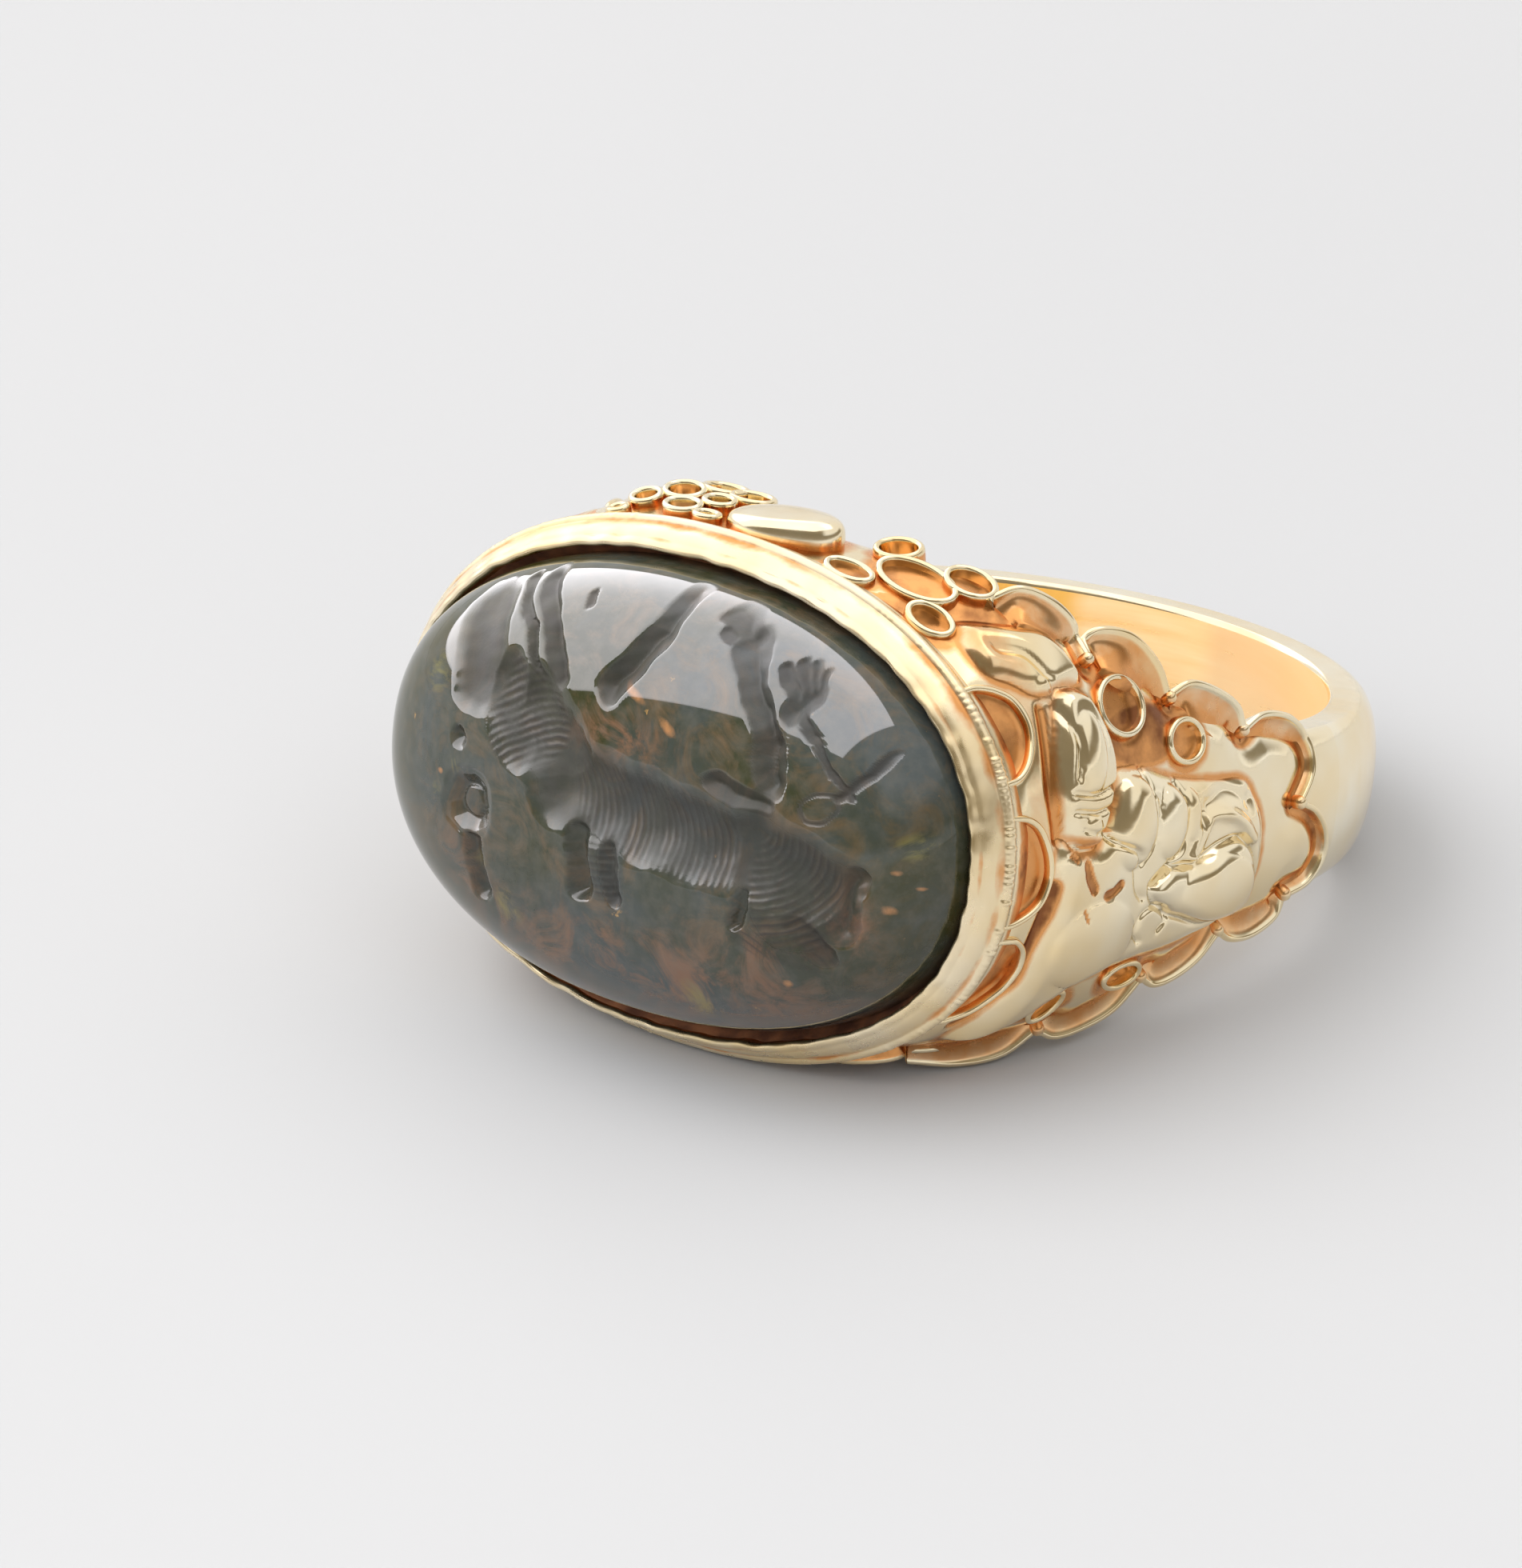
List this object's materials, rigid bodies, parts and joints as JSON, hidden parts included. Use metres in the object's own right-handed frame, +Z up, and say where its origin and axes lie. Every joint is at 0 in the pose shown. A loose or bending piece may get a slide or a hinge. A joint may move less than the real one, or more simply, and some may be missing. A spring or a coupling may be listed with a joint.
{
  "type": "agate ring",
  "caption": "Gold signet-style ring with a large oval domed moss agate engraved with a bull, a rubbed-over bezel and scalloped wire-work shoulders, lying on its side.",
  "frame": {"origin": "middle of the footprint, on the surface that the ring lies on", "axes": "+Z up, the ring lies on its side; the bezel and its stone face -Y, the length of the stone lies along X, and the finger hole's axis leans 13.1 degrees from +Z towards +Y"},
  "size_m": [0.0224, 0.0278, 0.0143],
  "materials": {
    "gold": "polished",
    "agate": "polished"
  },
  "bodies": {
    "root": {"gold_mount": "gold", "stone": "agate"}
  },
  "joints": []
}
